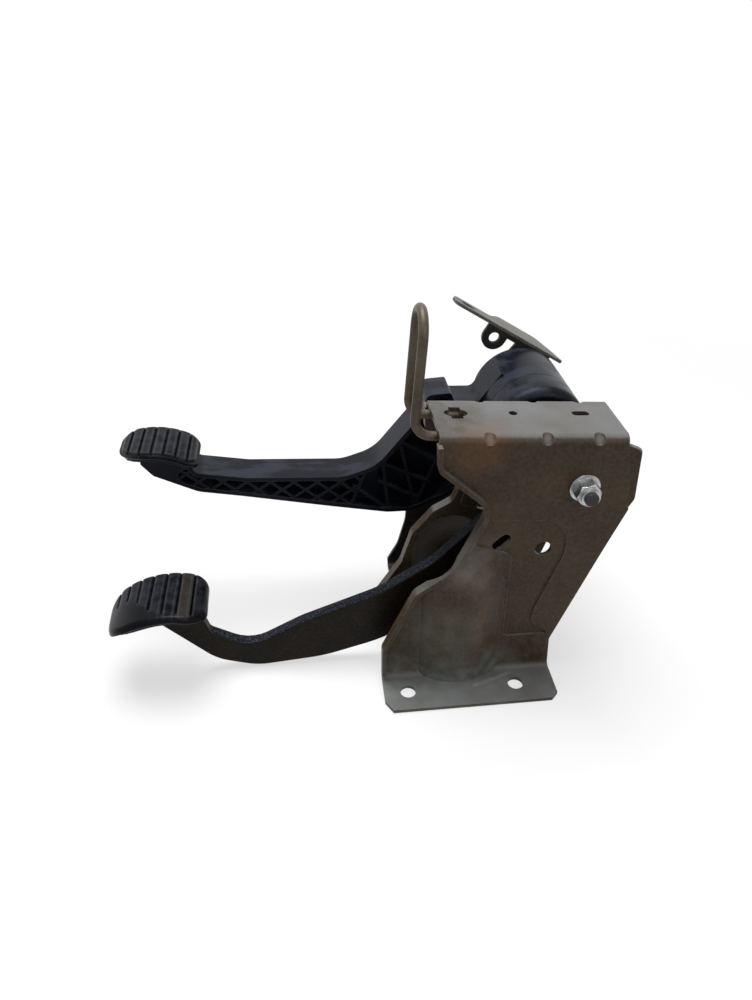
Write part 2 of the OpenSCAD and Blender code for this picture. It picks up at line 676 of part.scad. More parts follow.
// Length and height of the strip under the plate that joins the eye's lug to the neck
bridge = [14, 3];
module clutch_bracket() {
    y0 = clutch_cheek_y;
    front = rounded_path(concat([[clutch_foot_x, foot_bend_outer, 0]],
        scaled(clutch_front_shares, [clutch_foot_x, 0], clutch_foot_len, back_h)));
    rear = rounded_path(concat(scaled(clutch_rear_shares, [clutch_foot_x, 0], clutch_foot_len, back_h),
        [[clutch_foot_x + clutch_foot_len, foot_bend_outer, 0]]));
    neck = [for (s = [neck_start, neck_end])
        cowl_line(s) - cowl_t * [sin(cowl_fall), cos(cowl_fall)]];
    color(steel) difference() {
        union() {
            stand(y0, sheet) polygon(concat(front, neck, rear));
            stand(y0, sheet) translate(eye_at) union() {
                circle(r = eye_r, $fn = 48);
                rotate(-cowl_fall) translate([-eye_r, 0]) square([2 * eye_r, eye_root_share * eye_r]);
            }
            stand(y0, sheet) translate([cowl_x, cowl_z]) rotate(-cowl_fall)
                translate([neck_start - bridge[0], -cowl_t - bridge[1]])
                    square([bridge[0] + overrun, bridge[1]]);
            clutch_foot();
        }
        stand(y0 - overrun, sheet + 2 * overrun) translate([cowl_x, cowl_z]) rotate(-cowl_fall)
            translate([0, -cowl_t]) square([cowl_len, eye_r]);
        rod_y(eye_at[0], eye_at[1], y0 - overrun, sheet + 2 * overrun, eye_d / 2);
        rod_y(clutch_x, clutch_z, y0 - overrun, sheet + 2 * overrun, pin_d / 2);
        for (s = [-1, 1])
            translate([clutch_foot_x + clutch_foot_len / 2 + s * clutch_bolt_span / 2,
                       (clutch_cheek_y + foot_y) / 2, -overrun])
                cylinder(d = bolt_hole_d, h = sheet + 2 * overrun, $fn = 48);
    }
}
module clutch_foot() {
    y1 = clutch_cheek_y + sheet;
    translate([clutch_foot_x, 0, 0]) rotate([90, 0, 90]) linear_extrude(clutch_foot_len) union() {
        intersection() {
            translate([y1 - foot_bend_outer, foot_bend_outer]) difference() {
                circle(r = foot_bend_outer, $fn = 48);
                circle(r = foot_bend_r, $fn = 48);
            }
            translate([y1 - foot_bend_outer, 0]) square([foot_bend_outer, foot_bend_outer]);
        }
        translate([foot_y, 0]) square([y1 - foot_bend_outer - foot_y, sheet]);
    }
    translate([tongue_x, 0, 0]) rotate([90, 0, 90]) linear_extrude(tongue_w)
        polygon([[foot_y, 0], [foot_y + 2 * sheet, 0], [foot_y + 2 * sheet, sheet],
                 [foot_y + sheet, 2 * sheet], [foot_y - foot_reach / 2, 2 * sheet],
                 [foot_y - foot_reach / 2, sheet], [foot_y, sheet]]);
}
cowl_outline_shares = [[0, 0.02, 0.05], [0.27, 0.02, 0], [1, 0.02, 0.01], [0.93, 0.45, 0.02],
                       [0.8, 1, 0.08], [0.44, 1, 0.08], [0.34, 0.56, 0.08], [0, 0.55, 0.05]];
cowl_slot_u = 11;
cowl_slot_share = 0.28;
cowl_overhang = 1;
module cowl_plate() {
    color("#8B8984") translate([cowl_x, clutch_cheek_y - cowl_overhang, cowl_z])
        rotate([0, cowl_fall, 0]) translate([0, 0, -cowl_t]) difference() {
            linear_extrude(cowl_t)
                polygon(rounded_loop(scaled(cowl_outline_shares, [0, 0], cowl_len, cowl_w)));
            translate([cowl_slot_u, cowl_w * cowl_slot_share, -overrun]) linear_extrude(cowl_t + 2 * overrun)
                slot2d(back_slot_len, back_slot_w);
        }
}

// Clutch pivot

collar_r = 6;
peg_r = 3.4;
// Centre of the cap's locating peg from the clutch pivot
peg_off = [-17, 8];
peg_at = [clutch_x, clutch_z] + peg_off;
clip_t = 1.5;
clip_r = 9;
clip_mouth_share = 0.6;
pin_end = 3;
module clutch_pivot_pin() {
    color("#9A9890") {
        rod_y(clutch_x, clutch_z, channel_w / 2 - sheet,
              clutch_cheek_y + sheet + clip_t + pin_end - channel_w / 2 + sheet, pin_d / 2);
        rod_y(clutch_x, clutch_z, channel_w / 2, cap_y - channel_w / 2, collar_r);
    }
}
module pin_clip() {
    color("#5A5854") difference() {
        rod_y(clutch_x, clutch_z, clutch_cheek_y + sheet, clip_t, clip_r);
        rod_y(clutch_x, clutch_z, clutch_cheek_y + sheet - overrun, clip_t + 2 * overrun, pin_d / 2);
        stand(clutch_cheek_y + sheet - overrun, clip_t + 2 * overrun)
            translate([clutch_x, clutch_z - pin_d * clip_mouth_share / 2])
                square([2 * clip_r, pin_d * clip_mouth_share]);
    }
}
module thrust_washer() {
    start = drum_end_y + face_gap;
    color("#B9B6AC") tube_y(clutch_x, clutch_z, start, clutch_cheek_y - start, boss_hub_r,
                            pin_d / 2 + running);
}
cap_wall = 2.5;
cap_boss_r = 9;
boss_hub_r = 11;
sleeve_wall = 2;
module drum_cap() {
    depth = seam_y - face_gap - cap_y;
    color("#2B2C31") {
        difference() {
            rod_y(clutch_x, clutch_z, cap_y, depth, drum_r);
            tube_y(clutch_x, clutch_z, cap_y + cap_wall, depth, drum_r - cap_wall, cap_boss_r);
            rod_y(clutch_x, clutch_z, cap_y - overrun, depth + 2 * overrun, pin_d / 2 + running);
        }
        rod_y(peg_at[0], peg_at[1], channel_w / 2 - sheet, cap_y - channel_w / 2 + sheet, peg_r);
    }
}
spring_r = 19;
spring_wire = 3;
spring_turns = 5;
spring_pitch = 4;
// Torsion spring as a wire swept round the pin
module return_spring() {
    steps = 20;
    sides = 6;
    rings = spring_turns * steps;
    points = [for (i = [0:rings], k = [0:sides - 1])
        let (a = 360 * i / steps, b = 360 * k / sides, r = spring_r + spring_wire / 2 * cos(b))
        [r * cos(a), spring_pitch * i / steps + spring_wire / 2 * sin(b), r * sin(a)]];
    faces = concat(
        [[for (k = [0:sides - 1]) k]],
        [for (i = [0:rings - 1], k = [0:sides - 1])
            let (n = (k + 1) % sides)
            [i * sides + k, (i + 1) * sides + k, (i + 1) * sides + n, i * sides + n]],
        [[for (k = [sides - 1:-1:0]) rings * sides + k]]);
    color("#77756E") translate([clutch_x, cap_y + cap_wall + spring_wire / 2 + face_gap, clutch_z])
        polyhedron(points, faces);
}

// Clutch pedal

clutch_at = [clutch_x, clutch_z];
clutch_pad_fall = 8;
clutch_pad_share = [-0.9786, -0.066];
clutch_pad_top = clutch_at + clutch_pad_share * clutch_reach;
// Outline of the ribbed arm, from the pad along the bottom, round the drum and back along the top
arm_shares = [[-1.04, -0.1, 0.01], [-1.003, -0.15, 0.02], [-0.891, -0.208, 0.1],
              [-0.772, -0.231, 0.1], [-0.528, -0.283, 0.2], [-0.372, -0.314, 0.08],
              [-0.302, -0.315, 0.08], [-0.205, -0.273, 0.1], [-0.03, -0.15, 0.05],
              [0.06, -0.06, 0], [0.02, 0.08, 0], [-0.0764, 0.1033, 0],
              [-0.1322, 0.0248, 0.02], [-0.1955, 0.0273, 0.008], [-0.2054, 0.055, 0.008],
              [-0.2686, 0.0512, 0.02], [-0.2864, -0.0103, 0.04], [-0.4021, -0.157, 0.12],
              [-0.492, -0.187, 0.12], [-0.755, -0.173, 0.1], [-0.89, -0.149, 0.02],
              [-0.905, -0.118, 0.01], [-1, -0.098, 0.01]];
rod_hole_d = 10;
rod_boss_r = 9;
// Centre of the pushrod's hole from the clutch pivot
rod_hole_share = [-0.215, -0.020];
// Line on which the ribs cross, from its start beside the pivot, and the ribs' lean from it
rib_line_share = [0.05, -0.17];
rib_line_fall = 4;
rib_lean = 52;
rib_sink = 1;
// Start and end of each rib beside the drum, seen from the pivot; the crossed ribs end at the first
fan_shares = [[-0.474, -0.282, -0.442, -0.203], [-0.448, -0.236, -0.392, -0.288],
              [-0.383, -0.164, -0.369, -0.297], [-0.37, -0.159, -0.267, -0.215],
              [-0.375, -0.221, -0.3, -0.264], [-0.332, -0.113, -0.294, -0.288],
              [-0.321, -0.095, -0.248, -0.144], [-0.288, -0.292, -0.243, -0.174]];
module fan_rib(a, b) {
    d = b - a;
    translate(a) rotate(atan2(d[1], d[0])) translate([-2 * flange_t, -rib_t / 2])
        square([norm(d) + 4 * flange_t, rib_t]);
}
module fan_ribs() {
    for (f = fan_shares)
        fan_rib(clutch_at + [f[0], f[1]] * clutch_reach, clutch_at + [f[2], f[3]] * clutch_reach);
}
// The part of the arm beyond the first rib of the fan
module crossed_part() {
    f = fan_shares[0];
    translate(clutch_at + [f[0], f[1]] * clutch_reach) rotate(atan2(f[3] - f[1], f[2] - f[0]))
        translate([-clutch_reach, 0]) square([2 * clutch_reach, clutch_reach]);
}
module arm_ribs() {
    for (i = [0:ceil((1 + rib_line_share[0]) * clutch_reach / rib_pitch)], s = [-1, 1])
        translate(clutch_at + rib_line_share * clutch_reach
                  - i * rib_pitch * [cos(rib_line_fall), -sin(rib_line_fall)])
            rotate(s * rib_lean - rib_line_fall) square([rib_t, clutch_reach], center = true);
}
module clutch_arm() {
    y0 = arm_y - arm_w / 2;
    corners = scaled(arm_shares, clutch_at, clutch_reach, clutch_reach);
    inner = rounded_loop(inset_loop([for (i = [1:len(corners) - 2]) corners[i]], flange_t));
    rod_hole = clutch_at + rod_hole_share * clutch_reach;
    recess = (arm_w - rib_web_t) / 2;
    color("#202226") difference() {
        union() {
            difference() {
                stand(y0, arm_w) polygon(rounded_loop(corners));
                for (y = [y0 - overrun, y0 + recess + rib_web_t])
                    stand(y, recess + overrun) polygon(inner);
            }
            stand(y0 + rib_sink, arm_w - 2 * rib_sink) intersection() {
                polygon(inner);
                union() {
                    fan_ribs();
                    intersection() {
                        arm_ribs();
                        crossed_part();
                    }
                }
            }
            rod_y(rod_hole[0], rod_hole[1], y0, arm_w, rod_boss_r);
            drum();
            pad_frame(clutch_pad_top, clutch_pad_fall, arm_y)
                pad_slab(clutch_pad_len - rubber_t, clutch_pad_w - rubber_t, rubber_t,
                         rubber_t + pad_plate_t);
        }
        drum_hollows();
        pad_frame(clutch_pad_top, clutch_pad_fall, arm_y)
            pad_over(clutch_pad_len, clutch_pad_w, rubber_t);
        rod_y(rod_hole[0], rod_hole[1], y0 - overrun, arm_w + 2 * overrun, rod_hole_d / 2);
    }
    color("#202226") drum_core();
}
drum_wall = 3;
module drum() {
    rod_y(clutch_x, clutch_z, seam_y, drum_end_y - seam_y, drum_r);
}
// Both open ends of the drum; the arm's web closes its middle
module drum_hollows() {
    rod_y(clutch_x, clutch_z, seam_y - overrun, arm_y - rib_web_t / 2 - seam_y + overrun,
          drum_r - drum_wall);
    rod_y(clutch_x, clutch_z, arm_y + rib_web_t / 2, drum_end_y - arm_y, drum_r - drum_wall);
    rod_y(clutch_x, clutch_z, seam_y - overrun, drum_end_y - seam_y + 2 * overrun, boss_hub_r);
}
drum_ribs = 6;
rib_start_y = 60;
module drum_core() {
    difference() {
        union() {
            rod_y(clutch_x, clutch_z, seam_y, drum_end_y - seam_y, boss_hub_r);
            for (i = [0:drum_ribs - 1])
                translate([clutch_x, 0, clutch_z]) rotate([0, 360 * (i + 0.5) / drum_ribs, 0])
                    translate([boss_hub_r - rib_sink, rib_start_y, -rib_t / 2])
                        cube([drum_r - drum_wall - boss_hub_r + 2 * rib_sink,
                              drum_end_y - rib_sink - rib_start_y, rib_t]);
        }
        rod_y(clutch_x, clutch_z, seam_y - overrun, drum_end_y - seam_y + 2 * overrun,
              pin_d / 2 + running + sleeve_wall);
    }
}
module hub_sleeve() {
    color("#A9A79F") tube_y(clutch_x, clutch_z, seam_y, drum_end_y - seam_y,
                            pin_d / 2 + running + sleeve_wall, pin_d / 2 + running);
}
module clutch_pad() {
    color("#1B1C20") pad_frame(clutch_pad_top, clutch_pad_fall, arm_y)
        pad_rubber(clutch_pad_len, clutch_pad_w, clutch_grooves);
}

main_bracket();
wire_loop();
brake_pivot_bolt();
brake_pivot_nut();
brake_spacer();
brake_bushes();
brake_hub_tube();
brake_arm();
brake_pad_plate();
brake_pad();
clutch_bracket();
cowl_plate();
clutch_pivot_pin();
pin_clip();
thrust_washer();
drum_cap();
return_spring();
clutch_arm();
hub_sleeve();
clutch_pad();
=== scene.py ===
"""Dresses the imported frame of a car's pedal box: steel bracket, steel brake pedal, moulded clutch pedal.

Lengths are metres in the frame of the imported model. X runs up the firewall, Y from the brake pedal to the
clutch pedal, Z away from the firewall, and the firewall face is z = 0.
"""

import math

import bpy
import bmesh
import numpy as np
from mathutils import Matrix, Vector


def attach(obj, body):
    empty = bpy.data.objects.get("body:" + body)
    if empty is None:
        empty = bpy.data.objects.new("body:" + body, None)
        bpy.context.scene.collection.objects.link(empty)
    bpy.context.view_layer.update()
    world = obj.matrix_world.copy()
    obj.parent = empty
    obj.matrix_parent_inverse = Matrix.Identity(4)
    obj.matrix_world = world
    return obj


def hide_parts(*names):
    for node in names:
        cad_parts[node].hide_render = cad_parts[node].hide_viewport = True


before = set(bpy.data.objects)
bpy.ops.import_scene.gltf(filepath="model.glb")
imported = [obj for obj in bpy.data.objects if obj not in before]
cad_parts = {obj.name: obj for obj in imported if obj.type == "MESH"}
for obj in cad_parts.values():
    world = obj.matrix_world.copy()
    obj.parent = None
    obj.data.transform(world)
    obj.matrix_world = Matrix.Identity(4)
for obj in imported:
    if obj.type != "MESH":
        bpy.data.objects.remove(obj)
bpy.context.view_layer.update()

bl_info = {
    "name": "Pedal Box",
    "version": (1, 0, 0),
    "blender": (4, 5, 0),
    "location": "3D View > Sidebar > Pedal Box",
    "description": "Dresses the packed frame of a pedal box with worn steel, nylon and rubber",
    "category": "Object",
}

MM = 0.001


# Settings


class PedalBoxSizes(bpy.types.PropertyGroup):
    """Sizes that shape the dressed pieces."""

    sheet_edge: bpy.props.FloatProperty(
        name="Sheet edge", description="Width of the broken edge on pressed steel",
        default=0.35 * MM, min=0.1 * MM, max=0.8 * MM, unit="LENGTH", precision=5)
    bar_edge: bpy.props.FloatProperty(
        name="Bar edge", description="Width of the rounded edge on the brake bar",
        default=1.1 * MM, min=0.3 * MM, max=2.0 * MM, unit="LENGTH", precision=5)
    rubber_t: bpy.props.FloatProperty(
        name="Rubber thickness", description="Thickness of the pads' rubber on its plate",
        default=5 * MM, min=4 * MM, max=7 * MM, unit="LENGTH", precision=4)
    groove_depth: bpy.props.FloatProperty(
        name="Groove depth", description="Depth of the grooves in the pads",
        default=1.8 * MM, min=1 * MM, max=2.6 * MM, unit="LENGTH", precision=4)


class PedalBoxColours(bpy.types.PropertyGroup):
    """Colours of the finishes, as they are seen in plain light."""

    coat: bpy.props.StringProperty(
        name="Bracket coat", description="sRGB hex of the bracket's worn olive-brown coat", default="443523")
    nylon: bpy.props.StringProperty(
        name="Nylon", description="sRGB hex of the moulded nylon", default="0B0E16")
    rubber: bpy.props.StringProperty(
        name="Rubber", description="sRGB hex of the pads' rubber", default="0B0C11")
    zinc: bpy.props.StringProperty(
        name="Zinc", description="sRGB hex of the zinc plate", default="B6BABC")


# Materials


def rgba(code):
    """An sRGB hex value as linear red, green, blue and alpha 1."""
    channels = np.array([int(code[i:i + 2], 16) for i in (0, 2, 4)]) / 255
    linear = np.where(channels <= 0.04045, channels / 12.92, ((channels + 0.055) / 1.055) ** 2.4)
    return (*linear.tolist(), 1.0)


def per_mm(size):
    """Texture scale at which a noise's features are about size millimetres wide."""
    return 1000 / size


def add(tree, kind, inputs=None, **settings):
    """Adds a node; each input is given by its name or number, as a value or as a socket to link from."""
    node = tree.nodes.new(kind)
    for key, value in settings.items():
        setattr(node, key, value)
    for key, value in (inputs or {}).items():
        if isinstance(value, bpy.types.NodeSocket):
            tree.links.new(value, node.inputs[key])
        else:
            node.inputs[key].default_value = value
    return node


def blank(name):
    """A new material with an empty node tree, and the coordinates of its points."""
    material = bpy.data.materials.new(name)
    material.use_nodes = True
    tree = material.node_tree
    tree.nodes.clear()
    return material, tree, add(tree, "ShaderNodeTexCoord").outputs["Object"]


def started(name):
    """A new material with only its output and a Principled shader, and the point coordinates."""
    material, tree, point = blank(name)
    shader = add(tree, "ShaderNodeBsdfPrincipled")
    add(tree, "ShaderNodeOutputMaterial", {"Surface": shader.outputs[0]})
    return material, tree, shader, point


def patches(tree, point, size_mm, low, high, detail=4.0, roughness=0.55, seed=0.0):
    """A mask from 0 to 1 that is high in noise patches of the given size."""
    noise = add(tree, "ShaderNodeTexNoise",
                {"Vector": point, "W": seed, "Scale": per_mm(size_mm), "Detail": detail,
                 "Roughness": roughness}, noise_dimensions="4D")
    return add(tree, "ShaderNodeMapRange",
               {"Value": noise.outputs[0], "From Min": low, "From Max": high}).outputs[0]


def blended(tree, mask, below, above):
    """The colour below where the mask is 0 and above where it is 1."""
    return add(tree, "ShaderNodeMix", {0: mask, 6: below, 7: above}, data_type="RGBA").outputs[2]


def levelled(tree, mask, below, above):
    """A number that runs from below to above with the mask."""
    return add(tree, "ShaderNodeMapRange", {"Value": mask, "To Min": below, "To Max": above}).outputs[0]


def ramped(tree, value, low, high):
    """A mask that rises softly from 0 at low to 1 at high; low may be the larger of the two."""
    return add(tree, "ShaderNodeMapRange", {"Value": value, "From Min": low, "From Max": high},
               interpolation_type="SMOOTHSTEP").outputs[0]


def both(tree, mask, other):
    """The product of two masks."""
    return add(tree, "ShaderNodeMath", {0: mask, 1: other}, operation="MULTIPLY").outputs[0]


def spot(tree, point, centre_mm, radius_mm, soft_mm):
    """A mask that is 1 within radius_mm of a place on the part and 0 beyond radius_mm + soft_mm."""
    centre = [value * MM for value in centre_mm]
    distance = add(tree, "ShaderNodeVectorMath", {0: point, 1: centre},
                   operation="DISTANCE").outputs["Value"]
    return ramped(tree, distance, (radius_mm + soft_mm) * MM, radius_mm * MM)


def streak(tree, point, start_mm, end_mm, radius_mm):
    """A mask along the line from start to end: 1 on the line and 0 at radius_mm from it."""
    start = np.array(start_mm, float) * MM
    run = np.array(end_mm, float) * MM - start
    offset = add(tree, "ShaderNodeVectorMath", {0: point, 1: start.tolist()}, operation="SUBTRACT").outputs[0]
    travel = add(tree, "ShaderNodeVectorMath", {0: offset, 1: run.tolist()},
                 operation="DOT_PRODUCT").outputs["Value"]
    share = add(tree, "ShaderNodeMapRange", {"Value": travel, "From Max": float(run @ run)}).outputs[0]
    foot = add(tree, "ShaderNodeVectorMath", {0: run.tolist(), "Scale": share}, operation="SCALE").outputs[0]
    distance = add(tree, "ShaderNodeVectorMath", {0: offset, 1: foot}, operation="DISTANCE").outputs["Value"]
    return ramped(tree, distance, radius_mm * MM, 0.0)


def facing_up(tree, low=0.55, high=0.9):
    """A mask that is 1 on faces that look away from the firewall, which face the light from above; it places
    painted light on them, and the nylon's scuffs.
    """
    normal = add(tree, "ShaderNodeNewGeometry").outputs["Normal"]
    upward = add(tree, "ShaderNodeSeparateXYZ", {0: normal}).outputs["Z"]
    return ramped(tree, upward, low, high)


def bumped(tree, height, depth_mm, strength=1.0, edge_mm=0.0):
    """A normal from a height mask whose full range is depth_mm, over edges that look rounded by edge_mm."""
    inputs = {"Height": height, "Distance": depth_mm * MM, "Strength": strength}
    if edge_mm:
        inputs["Normal"] = add(tree, "ShaderNodeBevel", {"Radius": edge_mm * MM}, samples=4).outputs[0]
    return add(tree, "ShaderNodeBump", inputs).outputs[0]


def worn_edges(tree, radius_mm, low, high):
    """A mask that is 1 on sharp edges: where the rounded normal leaves the true one."""
    rounded = add(tree, "ShaderNodeBevel", {"Radius": radius_mm * MM}, samples=4)
    true = add(tree, "ShaderNodeNewGeometry")
    likeness = add(tree, "ShaderNodeVectorMath", {0: rounded.outputs[0], 1: true.outputs["Normal"]},
                   operation="DOT_PRODUCT").outputs["Value"]
    return add(tree, "ShaderNodeMapRange",
               {"Value": likeness, "From Min": high, "From Max": low}).outputs[0]


def dull(shader, level):
    """Lowers the mirror part of a shader's light, as dust and age do."""
    shader.inputs["Specular IOR Level"].default_value = level


def coated_steel(name, base, dark, light, rust, metal=0.0, painted_top_light=None, marks=()):
    """Thin dipped coat on pressed steel, years old: satin, clouded, rubbed pale on its edges, rust tinted.

    painted_top_light is the paler colour painted on the faces that look up, as light from above; marks are
    (colour, strength, mask maker) for the patches at known places on the part, some of them painted light.
    """
    material, tree, shader, point = started(name)
    clouds = patches(tree, point, 30, 0.36, 0.66, detail=5)
    fine = patches(tree, point, 2.2, 0.35, 0.7, detail=6, seed=2.0)
    stains = patches(tree, point, 19, 0.55, 0.74, detail=6, roughness=0.62, seed=5.0)
    rubbed = both(tree, worn_edges(tree, 1.2, 0.9, 0.995), patches(tree, point, 5, 0.36, 0.56, seed=9.0))
    colour = blended(tree, clouds, rgba(dark), rgba(base))
    colour = blended(tree, levelled(tree, stains, 0.0, 0.5), colour, rgba(rust))
    # Faces that look up turn paler grey: painted light from the lamp above
    if painted_top_light:
        painted_top_colour = blended(tree, clouds, rgba(painted_top_light[0]), rgba(painted_top_light[1]))
        colour = blended(tree, facing_up(tree), colour, painted_top_colour)
    for shade, strength, mask in marks:
        ragged = levelled(tree, patches(tree, point, 9, 0.35, 0.62, detail=6, seed=11.0), 0.35, 1.0)
        there = both(tree, mask(tree, point), ragged)
        colour = blended(tree, levelled(tree, there, 0.0, strength), colour, rgba(shade))
    colour = blended(tree, levelled(tree, fine, 0.0, 0.16), colour, rgba(light))
    colour = blended(tree, levelled(tree, rubbed, 0.0, 0.4), colour, rgba(light))
    tree.links.new(colour, shader.inputs["Base Color"])
    tree.links.new(levelled(tree, fine, 0.34, 0.5), shader.inputs["Roughness"])
    tree.links.new(bumped(tree, fine, 0.04, 0.5, 0.5), shader.inputs["Normal"])
    shader.inputs["Metallic"].default_value = metal
    dull(shader, 0.14)
    return material


def plain_metal(name, base, dark, roughness, metal=1.0):
    """Bare or plated metal: its colour clouded by handling, with a fine grain in its gloss.

    With metal at 0 it is natural nylon, which has the same clouded, finely grained skin. The grain is drawn
    0.8 mm wide, coarser than the real one, so that it shows.
    """
    material, tree, shader, point = started(name)
    clouds = patches(tree, point, 6, 0.4, 0.68, detail=5)
    grain = patches(tree, point, 0.8, 0.3, 0.7, detail=3, seed=3.0)
    tree.links.new(blended(tree, clouds, rgba(base), rgba(dark)), shader.inputs["Base Color"])
    tree.links.new(levelled(tree, grain, roughness - 0.08, roughness + 0.1), shader.inputs["Roughness"])
    tree.links.new(bumped(tree, grain, 0.02, 0.4, 0.3), shader.inputs["Normal"])
    shader.inputs["Metallic"].default_value = metal
    return material


def glass_filled_nylon(name, base):
    """Black glass-filled nylon, moulded: a satin blue-black skin with fibre specks, scuffed pale on top with
    a painted sheen there, and pale edges that are part wear and part painted highlight.

    The scuffs are drawn out along the arm, the way that shoes rub it.
    """
    material, tree, shader, point = started(name)
    specks = patches(tree, point, 0.7, 0.5, 0.72, detail=3)
    drawn_out = add(tree, "ShaderNodeVectorMath", {0: point, 1: (0.35, 1.0, 1.0)},
                    operation="MULTIPLY").outputs[0]
    scuffs = patches(tree, drawn_out, 11, 0.47, 0.56, detail=7, roughness=0.62, seed=4.0)
    haze = patches(tree, point, 40, 0.4, 0.62, detail=3, seed=7.0)
    rubbed = both(tree, facing_up(tree, 0.3, 0.85), scuffs)
    edges = worn_edges(tree, 0.8, 0.9, 0.99)
    colour = blended(tree, levelled(tree, haze, 0.0, 0.35), rgba(base), rgba("12151D"))
    # Pale blue-grey on faces that look up: scuff wear and painted sheen from the light above
    colour = blended(tree, levelled(tree, rubbed, 0.0, 0.42), colour, rgba("353A47"))
    # Pale edges: rubbed wear and painted edge highlight
    colour = blended(tree, levelled(tree, edges, 0.0, 0.35), colour, rgba("565A66"))
    colour = blended(tree, levelled(tree, specks, 0.0, 0.1), colour, rgba("5A5E66"))
    tree.links.new(colour, shader.inputs["Base Color"])
    tree.links.new(levelled(tree, scuffs, 0.28, 0.42), shader.inputs["Roughness"])
    tree.links.new(bumped(tree, specks, 0.03, 0.5, 0.35), shader.inputs["Normal"])
    dull(shader, 0.1)
    return material


def electrocoated_bar(name):
    """Black electrocoat on a sheared steel bar: brown-black flanks, with a painted sheen of blue-black on the
    faces that look up and painted glints as pale specks on them.
    """
    material, tree, shader, point = started(name)
    dust = patches(tree, point, 1.1, 0.48, 0.74, detail=6)
    clouds = patches(tree, point, 22, 0.4, 0.65, detail=4, seed=1.0)
    up = facing_up(tree, 0.35, 0.8)
    painted_glints = both(tree, up, patches(tree, point, 0.9, 0.5, 0.66, detail=4, seed=8.0))
    colour = blended(tree, clouds, rgba("17120D"), rgba("211B14"))
    colour = blended(tree, levelled(tree, dust, 0.0, 0.14), colour, rgba("6B6964"))
    # Faces that look up turn blue-black: painted sheen from the light above
    colour = blended(tree, up, colour, rgba("11131B"))
    # Pale specks on those faces: painted glints
    colour = blended(tree, levelled(tree, painted_glints, 0.0, 0.3), colour, rgba("747A88"))
    tree.links.new(colour, shader.inputs["Base Color"])
    tree.links.new(levelled(tree, dust, 0.32, 0.46), shader.inputs["Roughness"])
    tree.links.new(bumped(tree, dust, 0.05, 0.5), shader.inputs["Normal"])
    dull(shader, 0.07)
    return material


def worn_rubber(name, base):
    """Moulded black rubber: grey bloom on the blocks, pale rims, and a dark polish where shoes rub it.

    The attributes polish, rim, dusty and groove_dark say where each of these is. groove_dark makes the floors
    of the grooves nearly black.
    """
    material, tree, shader, point = started(name)
    bloom = patches(tree, point, 7, 0.4, 0.62, detail=5)
    pores = patches(tree, point, 0.6, 0.4, 0.7, detail=2, seed=6.0)
    polish = add(tree, "ShaderNodeAttribute", attribute_name="polish").outputs["Fac"]
    rim = add(tree, "ShaderNodeAttribute", attribute_name="rim").outputs["Fac"]
    groove_dark = add(tree, "ShaderNodeAttribute", attribute_name="groove_dark").outputs["Fac"]
    dusty = add(tree, "ShaderNodeAttribute", attribute_name="dusty").outputs["Fac"]
    rest = add(tree, "ShaderNodeMath", {0: 1.0, 1: polish}, operation="SUBTRACT").outputs[0]
    colour = blended(tree, levelled(tree, both(tree, bloom, rest), 0.0, 0.6), rgba(base), rgba("2C2E36"))
    colour = blended(tree, levelled(tree, both(tree, dusty, rest), 0.0, 0.55), colour, rgba("37322B"))
    colour = blended(tree, levelled(tree, both(tree, rim, rest), 0.0, 0.13), colour, rgba("6C6F76"))
    colour = blended(tree, groove_dark, colour, rgba("040405"))
    tree.links.new(colour, shader.inputs["Base Color"])
    gloss = add(tree, "ShaderNodeMath",
                {0: levelled(tree, bloom, 0.24, 0.36), 1: levelled(tree, polish, 0.0, 0.14)},
                operation="SUBTRACT").outputs[0]
    tree.links.new(gloss, shader.inputs["Roughness"])
    tree.links.new(bumped(tree, pores, 0.02, 0.4), shader.inputs["Normal"])
    dull(shader, 0.06)
    return material


# Marks and painted light on the bracket, each as its colour, its strength and the mask of its place in mm
BRACKET_MARKS_AND_PAINTED_LIGHT = (
    # Brown tint under the first dart
    ("6B4526", 0.5, lambda tree, point: spot(tree, point, (2, -23, 173), 8, 16)),
    # Darker brown band along the near cheek's front edge
    ("33291F", 0.6, lambda tree, point: streak(tree, point, (-30, -23, 50), (-16, -23, 90), 12)),
    # The bulge: painted highlight in grey on its top, where the light from above falls, and an olive tint low
    # down that also paints the lighter left side of its shading
    ("7B7771", 0.6, lambda tree, point: spot(tree, point, (2, -33, 96), 6, 20)),
    ("5E6156", 0.5, lambda tree, point: spot(tree, point, (-14, -33, 42), 12, 18)),
    # Paler grey of the near foot flange
    ("7B827F", 0.9, lambda tree, point: streak(tree, point, (-50, -36, 0), (18, -36, 0), 36)),
    # Painted light: a lighter streak down the bulge's flank, for its shading gradient
    ("685A4A", 0.6, lambda tree, point: streak(tree, point, (11, -33, 88), (9, -33, 40), 12)),
    # Dark corner of the back beside the wire loop
    ("3A2E23", 0.7, lambda tree, point: spot(tree, point, (-16, 0, 181), 10, 24)),
    # Painted highlight: a bright line on the fillet where the bulge meets the flange
    ("B9BAB6", 0.4, lambda tree, point: streak(tree, point, (8, -37.5, 3), (33, -29.0, 3), 2.4)),
    # Painted highlights: pale spots on the three darts
    ("7F8180", 0.5, lambda tree, point: spot(tree, point, (7.3, -21.5, 177), 1.0, 3)),
    ("7F8180", 0.7, lambda tree, point: spot(tree, point, (39.3, -21.5, 175.1), 1.0, 3)),
    ("7F8180", 0.7, lambda tree, point: spot(tree, point, (68.8, -21.5, 173.3), 1.0, 3)),
)

FINISHES = {}


